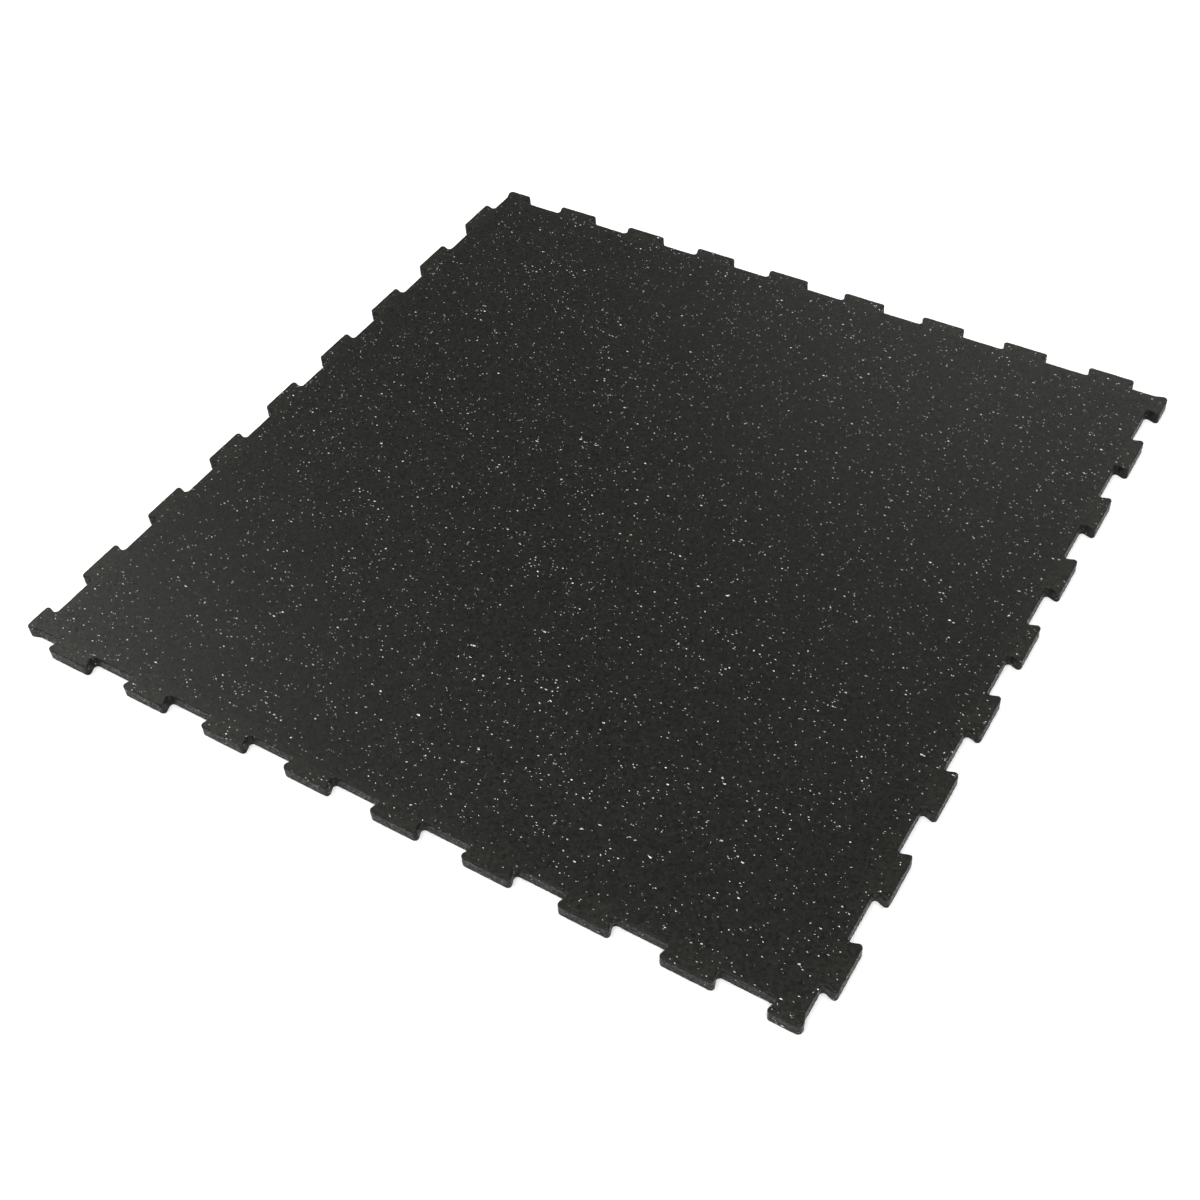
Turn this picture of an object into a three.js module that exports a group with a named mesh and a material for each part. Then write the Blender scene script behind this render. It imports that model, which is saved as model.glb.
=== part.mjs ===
// Interlocking rubber gym floor tile, lying flat with its underside at z = 0.
// It is one piece: a square sheet with a row of dovetail tabs along every side.
// The four sides are alike, each a quarter turn of the one before it, so that
// any side of one tile locks into any side of another.
import * as THREE from 'three';

// Driving dimensions, in millimetres
const COVERED_SIDE = 609.6;      // side of the floor square that one laid tile fills
const THICKNESS = 9.5;
const TAB_DEPTH = 10.2;          // from a side's base line out to its tab tips
const TAB_PITCH = 70;
const FLANK_LEAN_DEG = 20;       // how far a dovetail flank leans from square
const JOINT_CLEARANCE = 0.3;     // left between two laid tiles, all along the joint
const TAB_TIP_RADIUS = 2.6;
const TAB_ROOT_RADIUS = 2.2;
const CORNER_FLARE = 3.5;        // how far a corner tab's free end passes the next base line
const CORNER_TIP_RADIUS = 3.5;

const ARC_HALF_STEPS = 2;        // each rounded corner is drawn with twice as many chords
const RUBBER_COLOUR = 0x2f2f2d;

// Sizes that follow from the driving dimensions
const BASE_SIDE = COVERED_SIDE - TAB_DEPTH - JOINT_CLEARANCE;
const NARROWEST_CORNER_TAB = TAB_PITCH / 8; // any narrower and a side carries one tab fewer
const TAB_COUNT = Math.floor((BASE_SIDE - 2 * NARROWEST_CORNER_TAB) / TAB_PITCH);
const UNDERCUT = (TAB_DEPTH / 2) * Math.tan(THREE.MathUtils.degToRad(FLANK_LEAN_DEG));
const MID_HALF_WIDTH = (TAB_PITCH / 2 - JOINT_CLEARANCE) / 2;
const TIP_HALF_WIDTH = MID_HALF_WIDTH + UNDERCUT;
const ROOT_HALF_WIDTH = MID_HALF_WIDTH - UNDERCUT;

// Two tiles lock when the tabs of one fall midway between those of the other,
// which sets the distance from a corner to the first tab's centre line.
const FIRST_TAB = (BASE_SIDE - (TAB_COUNT - 0.5) * TAB_PITCH) / 2;

// Corners of one side, along +x from the tile's corner at the origin, tabs
// pointing to -y. Each corner carries the radius that it is rounded to.
function sideCorners() {
  const corners = [];
  for (let tab = 0; tab < TAB_COUNT; tab += 1) {
    const centre = FIRST_TAB + tab * TAB_PITCH;
    corners.push(
      { x: centre - ROOT_HALF_WIDTH, y: 0, radius: TAB_ROOT_RADIUS },
      { x: centre - TIP_HALF_WIDTH, y: -TAB_DEPTH, radius: TAB_TIP_RADIUS },
      { x: centre + TIP_HALF_WIDTH, y: -TAB_DEPTH, radius: TAB_TIP_RADIUS },
      { x: centre + ROOT_HALF_WIDTH, y: 0, radius: TAB_ROOT_RADIUS },
    );
  }
  const cornerTab = FIRST_TAB + TAB_COUNT * TAB_PITCH;
  corners.push(
    { x: cornerTab - ROOT_HALF_WIDTH, y: 0, radius: TAB_ROOT_RADIUS },
    { x: cornerTab - TIP_HALF_WIDTH, y: -TAB_DEPTH, radius: TAB_TIP_RADIUS },
    { x: BASE_SIDE + CORNER_FLARE, y: -TAB_DEPTH, radius: CORNER_TIP_RADIUS },
    { x: BASE_SIDE, y: 0, radius: TAB_ROOT_RADIUS },
  );
  return corners;
}

// All four sides in order, anticlockwise about the middle of the tile.
function tileCorners() {
  const middle = new THREE.Vector2(BASE_SIDE / 2, BASE_SIDE / 2);
  const corners = [];
  for (let quarter = 0; quarter < 4; quarter += 1) {
    for (const { x, y, radius } of sideCorners()) {
      const point = new THREE.Vector2(x, y).sub(middle);
      point.rotateAround(new THREE.Vector2(), (quarter * Math.PI) / 2);
      corners.push({ point, radius });
    }
  }
  return corners;
}

// A closed shape through the corners, each one rounded by an arc that touches
// both of its edges. An arc takes at most half of the shorter edge beside it.
function roundedShape(corners) {
  const shape = new THREE.Shape();
  corners.forEach(({ point, radius }, index) => {
    const before = corners[(index + corners.length - 1) % corners.length].point;
    const after = corners[(index + 1) % corners.length].point;
    const inward = before.clone().sub(point);
    const outward = after.clone().sub(point);
    const room = Math.min(inward.length(), outward.length()) / 2;
    inward.normalize();
    outward.normalize();

    const halfAngle = Math.acos(THREE.MathUtils.clamp(inward.dot(outward), -1, 1)) / 2;
    const setback = Math.min(radius / Math.tan(halfAngle), room);
    const arcRadius = setback * Math.tan(halfAngle);
    const start = point.clone().addScaledVector(inward, setback);
    const end = point.clone().addScaledVector(outward, setback);
    const towardsCentre = inward.clone().add(outward).normalize();
    const centre = point.clone().addScaledVector(towardsCentre, arcRadius / Math.sin(halfAngle));

    const clockwise = inward.cross(outward) > 0;
    const startAngle = start.clone().sub(centre).angle();
    const endAngle = end.clone().sub(centre).angle();
    if (index === 0) shape.moveTo(start.x, start.y);
    shape.absarc(centre.x, centre.y, arcRadius, startAngle, endAngle, clockwise);
  });
  shape.closePath();
  return shape;
}

function makeTile() {
  const geometry = new THREE.ExtrudeGeometry(roundedShape(tileCorners()), {
    depth: THICKNESS,
    bevelEnabled: false,
    curveSegments: ARC_HALF_STEPS,
  });
  const material = new THREE.MeshStandardMaterial({
    color: RUBBER_COLOUR,
    roughness: 0.8,
    metalness: 0,
  });
  const tile = new THREE.Mesh(geometry, material);
  tile.name = 'tile';
  return tile;
}

const floorTile = new THREE.Group();
floorTile.add(makeTile());

export default floorTile;
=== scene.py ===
"""Looks of an interlocking rubber gym floor tile: bonded black granules with light grey chips."""

import math

import bpy
import numpy as np
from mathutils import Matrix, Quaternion, Vector, noise
from mathutils.geometry import delaunay_2d_cdt


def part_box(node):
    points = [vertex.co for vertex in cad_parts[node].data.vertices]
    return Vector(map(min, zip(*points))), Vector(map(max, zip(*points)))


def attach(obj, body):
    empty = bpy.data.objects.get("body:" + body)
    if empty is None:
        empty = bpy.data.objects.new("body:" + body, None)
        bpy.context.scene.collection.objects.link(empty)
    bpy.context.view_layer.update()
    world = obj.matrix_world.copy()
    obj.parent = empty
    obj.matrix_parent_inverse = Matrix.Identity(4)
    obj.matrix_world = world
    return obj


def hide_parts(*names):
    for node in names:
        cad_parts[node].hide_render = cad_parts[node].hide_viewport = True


# Sizes of the outline, in metres, as the solid has them
TAB_DEPTH = 0.0102
TAB_PITCH = 0.070
FLANK_LEAN = math.radians(20)
JOINT_CLEARANCE = 0.0003
TAB_TIP_RADIUS = 0.0026
TAB_ROOT_RADIUS = 0.0022
CORNER_FLARE = 0.0035
CORNER_TIP_RADIUS = 0.0035
NARROWEST_CORNER_TAB = TAB_PITCH / 8

# Edges and mesh, in metres
TOP_ROUND = 0.0010
BOTTOM_ROUND = 0.0004
ROUND_STEPS = 5               # rows of faces over each rounded edge
WALL_ROWS = 7                 # rows of faces between the rounded edges
OUTLINE_STEP = 0.00095        # between two points along the outline
FLAT_RIMS = (0.0021, 0.0014)  # rings on the flat faces, by distance in from the outline
TOP_GRID = 0.006              # between the points inside the rings
BOTTOM_GRID = 0.020
GRID_MARGIN = 0.004           # from the base lines in to the grid
MERGE_DISTANCE = 1e-7

# Relief of the cut sides, in metres
GRANULE = 0.0019              # across one granule
WALL_RELIEF = 0.00028         # from a granule's middle in to the gaps between granules
GRANULE_ROUNDING = 1.6        # how soon a granule falls away from its middle
FINE_RELIEF = 0.00005
FINE_STEPS = 2.3              # of the fine relief, in the width of a granule

# Nicks in the top edge, in metres
NICK_DEPTH = 0.00030
WORN_STRETCH = 0.011          # along a stretch of the edge that has nicks
NICK_LENGTH = 0.0016
STRETCH_COVER = 0.35          # the more, the more of the edge has nicks
NICK_COVER = 0.25
STRETCH_SLICE = 3.7           # heights in the noise that keep the two patterns apart
NICK_SLICE = 9.1
NICK_REACH = 2.2 * TOP_ROUND  # how far down from the top face
NICK_ONSET = 4                # the more, the nearer to the flat face a nick starts
NICK_DROP = 0.8               # depth of a nick from above, as a share of its depth from the side

# Camera, from the photograph
CAMERA_AT = (0.46658, -0.71068, 0.83282)
CAMERA_AIM = (0.03475, -0.08649, 0.0095)
CAMERA_ROLL = math.radians(-4.56)
CAMERA_LENS = 48.17
SENSOR = 36.0

# Floor and light
FLOOR_HALF = 12.0
SURROUND_LOW = 1.1            # strength at the horizon
SURROUND_HIGH = 0.12          # strength overhead
SURROUND_RISE = 0.38          # sine of the height at which the surround has dimmed
KEY_WIDTH = math.radians(55)
SOFTBOX_COLOUR = (1.0, 1.0, 0.965)

# Black rubber: lengths in millimetres, and shades as factors on the ground colour
MM = 1000.0                   # millimetres in a metre
NOISE_MIDDLE = (0.5, 0.5, 0.5)
NOISE_SPAN = (0.3, 0.7)       # the values that most of a noise lies between
CUT_TILTS = (0.93, 0.35)      # the normal's upward share where a cut side starts and is full
WOBBLE_STEPS = 1.3            # in a millimetre
WOBBLE = 1.1                  # how far the sides of granules and chips are pushed about
GRANULE_SHADES = (0.55, 1.45)
CLOUD_SIZE = 38.0
CLOUD_SHADES = (0.92, 1.08)
GRIT_STEPS = 2.6              # in a millimetre
GRIT_SHADES = (0.60, 1.40)
SEAM_WIDTH = 0.10             # as a share of a granule
SEAM_SHADE = 0.70
PIT_CELL = 2.4
PIT_SHARE = 0.20              # of the cells hold a pit
PIT_CORE = 0.12               # as a share of the cell, as the rim is
PIT_RIM = 0.32
# Pits are painted darker: painted shade in the hollows
PIT_PAINTED_SHADE = 0.15
BORDER = (284.0, 307.0)       # from the tile's middle, where the paler border (partly wear, partly painted highlight) starts and is full
# The next two paint the border and the cut sides paler: partly wear, partly painted highlight
BORDER_WEAR_AND_HIGHLIGHT = 1.6
CUT_WEAR_AND_HIGHLIGHT = 1.15
GROUND_COLOURS = ((0.0069, 0.0075, 0.0055, 1), (0.0077, 0.0080, 0.0062, 1))

# Light chips in three sizes: cells in millimetres, the share of the cells that hold a chip,
# the widest gap to the cell's edge as a share of the cell, and turns in degrees
CHIP_LAYERS = (
    {"cell": 1.27, "share": 0.0028, "widest_gap": 0.30, "turn": 25},
    {"cell": 0.92, "share": 0.0066, "widest_gap": 0.25, "turn": 80},
    {"cell": 0.67, "share": 0.0065, "widest_gap": 0.18, "turn": 140},
)
NARROWEST_GAP = 0.03
CHIP_STRETCH = (0.75, 1.25, 1.0)  # chips are longer along the axis where this is smaller
CHIP_SHARPNESS = 26.0
GROUP_SIZE = 13               # across a loose group of chips, in millimetres
GROUP_SPAN = (0.36, 0.66)     # values of the noise that give the fewest and the most chips
GROUP_CROWDING = (0.30, 1.90)  # the fewest and the most, as factors on the shares
CHIP_COLOURS = ((0.30, 0.304, 0.295, 1), (0.84, 0.85, 0.83, 1))

# Roughness and fine relief of the rubber
GRANULE_ROUGHNESS = (0.35, 0.51)
GRIT_ROUGHNESS = (-0.06, 0.06)
PIT_ROUGHNESS = 0.3           # added in a pit
SCUFF_STEPS = 0.5             # in a millimetre
SCUFF_SPAN = (0.36, 0.60)     # values of the noise that give the glossiest and the dullest patch
SCUFF_ROUGHNESS = (-0.16, 0.28)
SEAM_SLOPE = 0.16             # from a seam up to the granule's top, as a share of a granule
GRIT_HEIGHT = 0.8             # of a granule's height
PIT_DEPTH = 2.0               # of a granule's height
BUMP_STRENGTH = 0.35
BUMP_HEIGHT = 0.00006         # in metres


def make_camera():
    """A camera at the photograph's place, with the whole 1200 by 1200 frame in its view."""
    data = bpy.data.cameras.new("camera")
    data.lens = CAMERA_LENS
    data.sensor_width = SENSOR
    data.clip_start = 0.01
    data.clip_end = 50
    camera = bpy.data.objects.new("camera", data)
    bpy.context.scene.collection.objects.link(camera)
    look = Vector(CAMERA_AIM) - Vector(CAMERA_AT)
    camera.location = CAMERA_AT
    camera.rotation_mode = "QUATERNION"
    roll = Quaternion((0, 0, 1), CAMERA_ROLL)
    camera.rotation_quaternion = look.to_track_quat("-Z", "Y") @ roll
    bpy.context.scene.camera = camera


# Floor and light

def make_floor():
    """A plain pale floor, so wide that its edge stays out of view."""
    mesh = bpy.data.meshes.new("floor")
    half = FLOOR_HALF
    corners = [(-half, -half, 0), (half, -half, 0), (half, half, 0), (-half, half, 0)]
    mesh.from_pydata(corners, [], [(0, 1, 2, 3)])
    floor = bpy.data.objects.new("floor", mesh)
    bpy.context.scene.collection.objects.link(floor)
    material = bpy.data.materials.new("pale_floor")
    material.use_nodes = True
    shader = material.node_tree.nodes["Principled BSDF"]
    shader.inputs["Base Color"].default_value = (0.97, 0.97, 0.97, 1)
    shader.inputs["Roughness"].default_value = 0.9
    shader.inputs["Specular IOR Level"].default_value = 0.1
    mesh.materials.append(material)


def add_light(name, kind, place, aim, strength):
    """A light that looks at its aim. Returns its data."""
    data = bpy.data.lights.new(name, kind)
    data.energy = strength
    light = bpy.data.objects.new(name, data)
    bpy.context.scene.collection.objects.link(light)
    light.location = place
    light.rotation_mode = "QUATERNION"
    light.rotation_quaternion = (Vector(aim) - Vector(place)).to_track_quat("-Z", "Y")
    return data


def make_softbox(name, place, aim, size, watts):
    data = add_light(name, "AREA", place, aim, watts)
    data.color = SOFTBOX_COLOUR
    data.shape = "RECTANGLE"
    data.size, data.size_y = size


def make_surround():
    """A surround that is pale near the horizon and dim overhead."""
    world = bpy.data.worlds.new("studio")
    world.use_nodes = True
    background = world.node_tree.nodes["Background"]
    background.inputs["Color"].default_value = (1, 1, 1, 1)
    n = Nodes(world.node_tree)
    direction = n.add("ShaderNodeTexCoord").outputs["Generated"]
    upward = n.add("ShaderNodeSeparateXYZ", {0: direction}).outputs[2]
    strength = n.remap(upward, (0, SURROUND_RISE), (SURROUND_LOW, SURROUND_HIGH), "SMOOTHSTEP")
    world.node_tree.links.new(strength, background.inputs["Strength"])
    bpy.context.scene.world = world


def make_light():
    """Soft studio light: the surround, a wide key light and two softboxes."""
    make_surround()
    key = add_light("key", "SUN", place=(0.25, -0.35, 1.5), aim=(0, 0, 0), strength=3.1)
    key.angle = KEY_WIDTH
    make_softbox("softbox_left", place=(-3.1, 0.1, 2.8), aim=(-0.3, -0.3, 0), size=(2.2, 1.6), watts=78)
    make_softbox("softbox_right", place=(0.15, 3.2, 1.9), aim=(0.3, 0.3, 0), size=(3.0, 1.6), watts=25)
    bpy.context.scene.view_settings.view_transform = "Standard"


# Outline

def side_corners(base_side):
    """Corners of one side as (x, y, radius), from the tile's corner at the origin along +x."""
    undercut = TAB_DEPTH / 2 * math.tan(FLANK_LEAN)
    half_width = (TAB_PITCH / 2 - JOINT_CLEARANCE) / 2
    tip, root = half_width + undercut, half_width - undercut
    count = math.floor((base_side - 2 * NARROWEST_CORNER_TAB) / TAB_PITCH)
    first = (base_side - (count - 0.5) * TAB_PITCH) / 2
    corners = []
    for tab in range(count):
        centre = first + tab * TAB_PITCH
        corners += [
            (centre - root, 0, TAB_ROOT_RADIUS),
            (centre - tip, -TAB_DEPTH, TAB_TIP_RADIUS),
            (centre + tip, -TAB_DEPTH, TAB_TIP_RADIUS),
            (centre + root, 0, TAB_ROOT_RADIUS),
        ]
    corner_tab = first + count * TAB_PITCH
    corners += [
        (corner_tab - root, 0, TAB_ROOT_RADIUS),
        (corner_tab - tip, -TAB_DEPTH, TAB_TIP_RADIUS),
        (base_side + CORNER_FLARE, -TAB_DEPTH, CORNER_TIP_RADIUS),
        (base_side, 0, TAB_ROOT_RADIUS),
    ]
    return corners


def tile_corners(base_side):
    """All corners as (point, radius), side after side, each side a quarter turn on."""
    half = base_side / 2
    corners = []
    for quarter in range(4):
        angle = quarter * math.pi / 2
        c, s = round(math.cos(angle)), round(math.sin(angle))
        for x, y, radius in side_corners(base_side):
            x, y = x - half, y - half
            corners.append((np.array((c * x - s * y, s * x + c * y)), radius))
    return corners


def rounded_corner(before, point, after, radius):
    """Points along the arc that rounds a corner, and their outward normals."""
    back, ahead = before - point, after - point
    back, ahead = back / np.linalg.norm(back), ahead / np.linalg.norm(ahead)
    half = math.acos(np.clip(back @ ahead, -1, 1)) / 2
    setback = radius / math.tan(half)
    middle = (back + ahead) / np.linalg.norm(back + ahead)
    centre = point + middle * radius / math.sin(half)
    start, end = point + back * setback - centre, point + ahead * setback - centre
    from_angle = math.atan2(start[1], start[0])
    turn = math.atan2(start[0] * end[1] - start[1] * end[0], start @ end)
    steps = max(2, math.ceil(abs(turn) * radius / OUTLINE_STEP))
    angles = from_angle + turn * np.linspace(0, 1, steps + 1)
    spokes = np.stack((np.cos(angles), np.sin(angles)), 1)
    outward = spokes if turn > 0 else -spokes
    return centre + radius * spokes, outward


def outline(base_side):
    """Points every millimetre or so along the rounded outline, and their outward normals."""
    corners = tile_corners(base_side)
    arcs = []
    for index, (point, radius) in enumerate(corners):
        before = corners[index - 1][0]
        after = corners[(index + 1) % len(corners)][0]
        arcs.append(rounded_corner(before, point, after, radius))
    points, normals = [], []
    for index, (arc, outward) in enumerate(arcs):
        points.append(arc)
        normals.append(outward)
        gap = arcs[(index + 1) % len(arcs)][0][0] - arc[-1]
        steps = max(1, round(float(np.linalg.norm(gap)) / OUTLINE_STEP))
        shares = np.arange(1, steps)[:, None] / steps
        points.append(arc[-1] + gap * shares)
        normals.append(np.repeat(outward[-1:], steps - 1, 0))
    return np.concatenate(points), np.concatenate(normals)


# Mesh

def edge_profile(height):
    """Rows of the rim from the top face over the edge and down to the underside.

    Each row is (distance in from the outline, z, share of the wall relief it takes)."""
    rows = [(inset, height, 0.0) for inset in FLAT_RIMS]
    for step in range(ROUND_STEPS + 1):
        angle = step / ROUND_STEPS * math.pi / 2
        inset = TOP_ROUND * (1 - math.sin(angle))
        z = height - TOP_ROUND * (1 - math.cos(angle))
        rows.append((inset, z, step / ROUND_STEPS))
    wall = height - TOP_ROUND - BOTTOM_ROUND
    for step in range(1, WALL_ROWS):
        rows.append((0.0, height - TOP_ROUND - wall * step / WALL_ROWS, 1.0))
    for step in range(ROUND_STEPS + 1):
        angle = step / ROUND_STEPS * math.pi / 2
        inset = BOTTOM_ROUND * (1 - math.cos(angle))
        z = BOTTOM_ROUND * (1 - math.sin(angle))
        rows.append((inset, z, 1 - step / ROUND_STEPS))
    rows += [(inset, 0.0, 0.0) for inset in reversed(FLAT_RIMS)]
    return rows


def cut_relief(x, y, z):
    """How far the cut side lies inside the true outline: rounded granules with gaps between."""
    spot = Vector((x, y, z)) / GRANULE
    from_middle = noise.voronoi(spot)[0][0]
    fine = noise.noise(spot * FINE_STEPS)
    fall = min(1.0, from_middle * from_middle * GRANULE_ROUNDING)
    return WALL_RELIEF * fall + FINE_RELIEF * (fine + 1)


def nick_depth(x, y):
    """Depth of the nicks in the top edge, which come and go along the outline."""
    stretch = noise.noise(Vector((x, y, STRETCH_SLICE)) / WORN_STRETCH)
    nick = noise.noise(Vector((x, y, NICK_SLICE)) / NICK_LENGTH)
    return NICK_DEPTH * max(0.0, STRETCH_COVER + stretch) * max(0.0, NICK_COVER + nick)


def rim_rows(points, normals, height):
    """The rim's vertices, row by row from the top face to the underside."""
    rows = []
    for inset, z, share in edge_profile(height):
        row = []
        nick_share = max(0.0, 1 - abs(height - z) / NICK_REACH) * min(1.0, share * NICK_ONSET)
        for (x, y), (nx, ny) in zip(points, normals):
            depth = inset
            drop = 0.0
            if share:
                nick = nick_share * nick_depth(x, y)
                depth += share * cut_relief(x, y, z) + nick
                drop = nick * NICK_DROP
            row.append((x - nx * depth, y - ny * depth, z - drop))
        rows.append(row)
    return rows


def fill_ring(ring, grid, half):
    """Fills a ring with triangles, over a grid of points inside it.

    Returns the points, the triangles, and for each point the numbers of those it came from."""
    reach = math.floor((half - GRID_MARGIN) / grid) * grid
    line = np.arange(-reach, reach + grid / 2, grid)
    inner = [Vector((x, y)) for x in line for y in line]
    outer = [Vector(point[:2]) for point in ring]
    edges = [(i, (i + 1) % len(outer)) for i in range(len(outer))]
    inside_only = 1
    found = delaunay_2d_cdt(outer + inner, edges, [], inside_only, MERGE_DISTANCE)
    return found[0], found[2], found[3]


def add_flat_face(vertices, faces, first, count, grid, half, upward):
    """Closes a ring of vertices, which starts at number first, with a flat face."""
    ring = vertices[first:first + count]
    z = ring[0][2]
    flat, triangles, sources = fill_ring(ring, grid, half)
    at = []
    for point, source in zip(flat, sources):
        if source and min(source) < count:
            at.append(first + min(source))
        else:
            at.append(len(vertices))
            vertices.append((point.x, point.y, z))
    for a, b, c in triangles:
        turns_left = (flat[b] - flat[a]).cross(flat[c] - flat[a]) > 0
        order = (a, b, c) if turns_left == upward else (a, c, b)
        faces.append(tuple(at[k] for k in order))


def build_tile_mesh(low, high):
    """The whole skin as one closed mesh, in the box from low to high."""
    height = high.z - low.z
    base_side = high.x - low.x - 2 * TAB_DEPTH
    points, normals = outline(base_side)
    rows = rim_rows(points, normals, height)
    count = len(points)
    vertices = [vertex for row in rows for vertex in row]
    faces = []
    for upper in range(0, (len(rows) - 1) * count, count):
        lower = upper + count
        for i in range(count):
            j = (i + 1) % count
            faces.append((upper + i, lower + i, lower + j, upper + j))
    last = (len(rows) - 1) * count
    add_flat_face(vertices, faces, 0, count, TOP_GRID, base_side / 2, upward=True)
    add_flat_face(vertices, faces, last, count, BOTTOM_GRID, base_side / 2, upward=False)
    mesh = bpy.data.meshes.new("rubber_tile")
    mesh.from_pydata(vertices, [], faces)
    mesh.update()
    mesh.polygons.foreach_set("use_smooth", [True] * len(mesh.polygons))
    return mesh


# Material

class Nodes:
    """A short way to add shader nodes and link them. Most methods return an output socket."""

    def __init__(self, tree):
        self.tree = tree

    def put(self, value, socket):
        """Links a socket's value on, or sets a plain one."""
        if isinstance(value, bpy.types.NodeSocket):
            self.tree.links.new(value, socket)
        else:
            socket.default_value = value

    def add(self, kind, inputs=None, **settings):
        """A new node with its settings and inputs, each input a plain value or a link."""
        node = self.tree.nodes.new(kind)
        for name, value in settings.items():
            setattr(node, name, value)
        for name, value in (inputs or {}).items():
            self.put(value, node.inputs[name])
        return node

    def math(self, operation, a, b=0.0, clamp=False):
        node = self.add("ShaderNodeMath", {0: a, 1: b}, operation=operation, use_clamp=clamp)
        return node.outputs[0]

    def product(self, first, *others):
        for other in others:
            first = self.math("MULTIPLY", first, other)
        return first

    def vector(self, operation, inputs):
        return self.add("ShaderNodeVectorMath", inputs, operation=operation).outputs[0]

    def remap(self, value, span, to_span, kind="LINEAR"):
        """The value moved from one span to another, and kept inside it."""
        inputs = {"Value": value, "From Min": span[0], "From Max": span[1],
                  "To Min": to_span[0], "To Max": to_span[1]}
        return self.add("ShaderNodeMapRange", inputs, interpolation_type=kind).outputs[0]

    def mix_number(self, factor, a, b):
        return self.add("ShaderNodeMix", {0: factor, 2: a, 3: b}).outputs[0]

    def mix_colour(self, factor, a, b):
        node = self.add("ShaderNodeMix", {0: factor, 6: a, 7: b}, data_type="RGBA")
        return node.outputs[2]

    def noise(self, where, scale, detail, roughness):
        inputs = {"Vector": where, "Scale": scale, "Detail": detail, "Roughness": roughness}
        return self.add("ShaderNodeTexNoise", inputs)

    def cells(self, where, size, feature="F1"):
        """Cells of one size, with each cell's colour and the distance from its middle."""
        return self.add("ShaderNodeTexVoronoi", {"Vector": where, "Scale": 1 / size}, feature=feature)

    def to_cell_edge(self, where, size):
        return self.cells(where, size, "DISTANCE_TO_EDGE").outputs["Distance"]

    def dice(self, cells):
        """Three random numbers for each cell."""
        return self.add("ShaderNodeSeparateColor", {0: cells.outputs["Color"]}).outputs


def wobbled(n, in_mm):
    """The place, pushed about a little so that granules and chips get uneven sides."""
    push = n.noise(in_mm, WOBBLE_STEPS, detail=2, roughness=0.6).outputs["Color"]
    push = n.vector("SUBTRACT", {0: push, 1: NOISE_MIDDLE})
    push = n.vector("SCALE", {0: push, "Scale": WOBBLE})
    return n.vector("ADD", {0: in_mm, 1: push})


def chip_layer(n, where, crowding, cell, share, widest_gap, turn):
    """Chips of one size, stretched one way. Returns (mask, a random number for each chip)."""
    place = {"Vector": where, "Rotation": (0, 0, math.radians(turn)), "Scale": CHIP_STRETCH}
    stretched = n.add("ShaderNodeMapping", place).outputs[0]
    picks, gaps, tones = n.dice(n.cells(stretched, cell))[:3]
    chosen = n.math("LESS_THAN", picks, n.product(crowding, share))
    gap = n.remap(gaps, (0, 1), (NARROWEST_GAP, widest_gap))
    within = n.math("SUBTRACT", n.to_cell_edge(stretched, cell), gap)
    inside = n.math("MULTIPLY", within, CHIP_SHARPNESS, clamp=True)
    return n.product(chosen, inside), tones


def light_chips(n, in_mm, where):
    """Returns (mask of all light chips, their tone from 0 to 1)."""
    groups = n.noise(in_mm, 1 / GROUP_SIZE, detail=2, roughness=0.6).outputs[0]
    crowding = n.remap(groups, GROUP_SPAN, GROUP_CROWDING)
    mask = 0.0
    tone = 0.0
    for layer in CHIP_LAYERS:
        chips, dice = chip_layer(n, where, crowding, **layer)
        mask = n.math("MAXIMUM", mask, chips)
        tone = n.math("MAXIMUM", tone, n.product(chips, dice))
    return mask, tone


def small_pits(n, in_mm):
    """Mask of the small pits where a granule is missing."""
    cells = n.cells(in_mm, PIT_CELL)
    chosen = n.math("LESS_THAN", n.dice(cells)[0], PIT_SHARE)
    hole = n.remap(cells.outputs["Distance"], (PIT_CORE, PIT_RIM), (1, 0), "SMOOTHSTEP")
    return n.product(chosen, hole)


def wear_and_painted_highlight(n, in_mm, cut):
    """How much paler the border of the faces and the cut sides are painted: partly wear, partly painted
    highlight.
    """
    x, y = n.add("ShaderNodeSeparateXYZ", {0: in_mm}).outputs[:2]
    reach = n.math("MAXIMUM", n.math("ABSOLUTE", x), n.math("ABSOLUTE", y))
    border = n.remap(reach, BORDER, (1, BORDER_WEAR_AND_HIGHLIGHT), "SMOOTHSTEP")
    return n.mix_number(cut, border, CUT_WEAR_AND_HIGHLIGHT)


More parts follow.
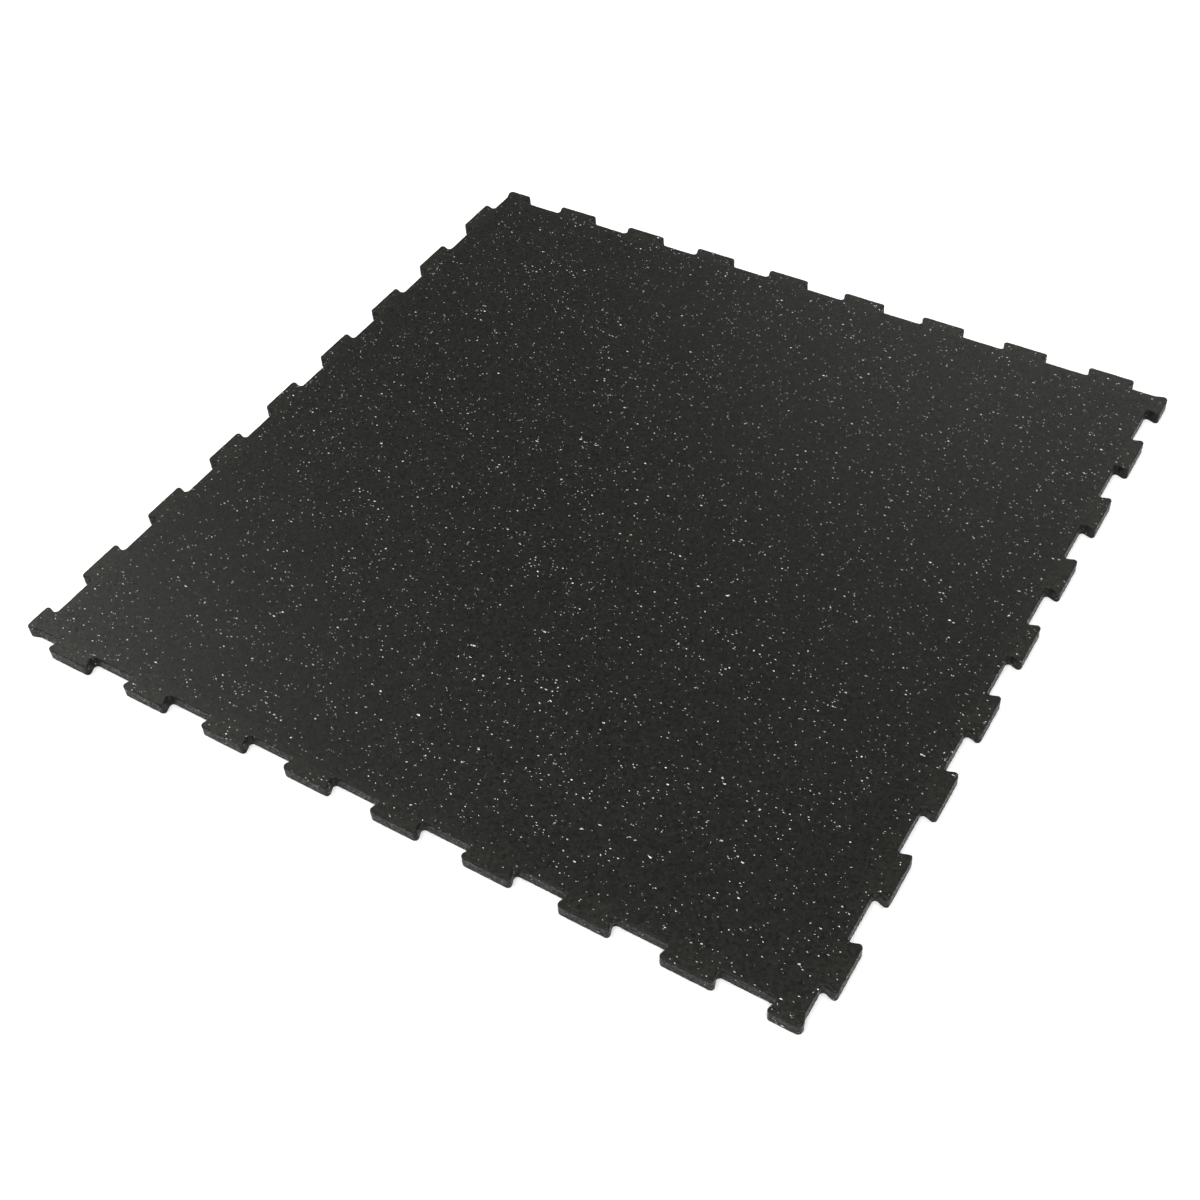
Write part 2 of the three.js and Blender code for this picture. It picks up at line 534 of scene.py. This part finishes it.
def rubber_material():
    """Black granules with dark seams, pits darkened with painted shade, light chips, a border and cut
    sides painted paler by wear and painted highlight, and cut sides scuffed in patches.
    """
    material = bpy.data.materials.new("flecked_rubber")
    material.use_nodes = True
    tree = material.node_tree
    shader = tree.nodes["Principled BSDF"]
    n = Nodes(tree)

    coordinate = n.add("ShaderNodeTexCoord")
    in_mm = n.vector("SCALE", {0: coordinate.outputs["Object"], "Scale": MM})
    where = wobbled(n, in_mm)
    upright = n.add("ShaderNodeSeparateXYZ", {0: coordinate.outputs["Normal"]}).outputs[2]
    cut = n.remap(n.math("ABSOLUTE", upright), CUT_TILTS, (0, 1), "SMOOTHSTEP")

    # Black granules, each a little lighter or darker, with dark binder between them
    shades, hues, glosses = n.dice(n.cells(where, GRANULE * MM))[:3]
    seams = n.to_cell_edge(where, GRANULE * MM)
    cloud = n.noise(in_mm, 1 / CLOUD_SIZE, detail=3, roughness=0.55).outputs[0]
    grit = n.noise(in_mm, GRIT_STEPS, detail=3, roughness=0.7).outputs[0]
    pit = small_pits(n, in_mm)
    shade = n.product(
        n.remap(shades, (0, 1), GRANULE_SHADES),
        n.remap(cloud, NOISE_SPAN, CLOUD_SHADES),
        n.remap(grit, NOISE_SPAN, GRIT_SHADES),
        n.remap(seams, (0, SEAM_WIDTH), (SEAM_SHADE, 1)),
        # the pits, darkened with painted shade
        n.remap(pit, (0, 1), (1, PIT_PAINTED_SHADE)),
        # the border and the cut sides, painted paler: partly wear, partly painted highlight
        wear_and_painted_highlight(n, in_mm, cut),
    )
    ground = n.vector("SCALE", {0: n.mix_colour(hues, *GROUND_COLOURS), "Scale": shade})
    chips, tone = light_chips(n, in_mm, where)
    colour = n.mix_colour(chips, ground, n.mix_colour(tone, *CHIP_COLOURS))
    n.put(colour, shader.inputs["Base Color"])

    # Each granule has its own gloss, pits are dull, and the cut sides are scuffed in patches
    rough = n.math("ADD", n.remap(glosses, (0, 1), GRANULE_ROUGHNESS),
                   n.remap(grit, NOISE_SPAN, GRIT_ROUGHNESS))
    rough = n.math("ADD", rough, n.product(pit, PIT_ROUGHNESS))
    patches = n.noise(in_mm, SCUFF_STEPS, detail=3, roughness=0.7).outputs[0]
    scuff = n.remap(patches, SCUFF_SPAN, SCUFF_ROUGHNESS)
    rough = n.math("ADD", rough, n.product(cut, scuff))
    n.put(rough, shader.inputs["Roughness"])
    shader.inputs["Specular IOR Level"].default_value = 0.20
    shader.inputs["Sheen Weight"].default_value = 0.03
    shader.inputs["Sheen Roughness"].default_value = 0.35

    # A very small bump of granules, grit and pits
    granule_height = n.remap(seams, (0, SEAM_SLOPE), (0, 1), "SMOOTHSTEP")
    relief = n.math("ADD", granule_height, n.product(grit, GRIT_HEIGHT))
    relief = n.math("SUBTRACT", relief, n.product(pit, PIT_DEPTH))
    settings = {"Height": relief, "Strength": BUMP_STRENGTH, "Distance": BUMP_HEIGHT}
    bump = n.add("ShaderNodeBump", settings).outputs[0]
    n.put(bump, shader.inputs["Normal"])
    return material


def make_tile():
    low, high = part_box("tile")
    mesh = build_tile_mesh(low, high)
    mesh.materials.append(rubber_material())
    tile = bpy.data.objects.new("rubber_tile", mesh)
    bpy.context.scene.collection.objects.link(tile)
    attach(tile, "root")
    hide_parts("tile")


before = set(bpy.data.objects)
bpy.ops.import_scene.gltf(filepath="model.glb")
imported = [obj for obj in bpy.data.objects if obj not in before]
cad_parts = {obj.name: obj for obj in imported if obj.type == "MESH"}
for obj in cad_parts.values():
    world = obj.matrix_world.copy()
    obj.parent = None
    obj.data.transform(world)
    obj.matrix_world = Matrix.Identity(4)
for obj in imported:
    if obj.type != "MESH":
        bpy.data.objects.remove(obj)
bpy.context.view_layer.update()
make_camera()
make_floor()
make_light()
make_tile()
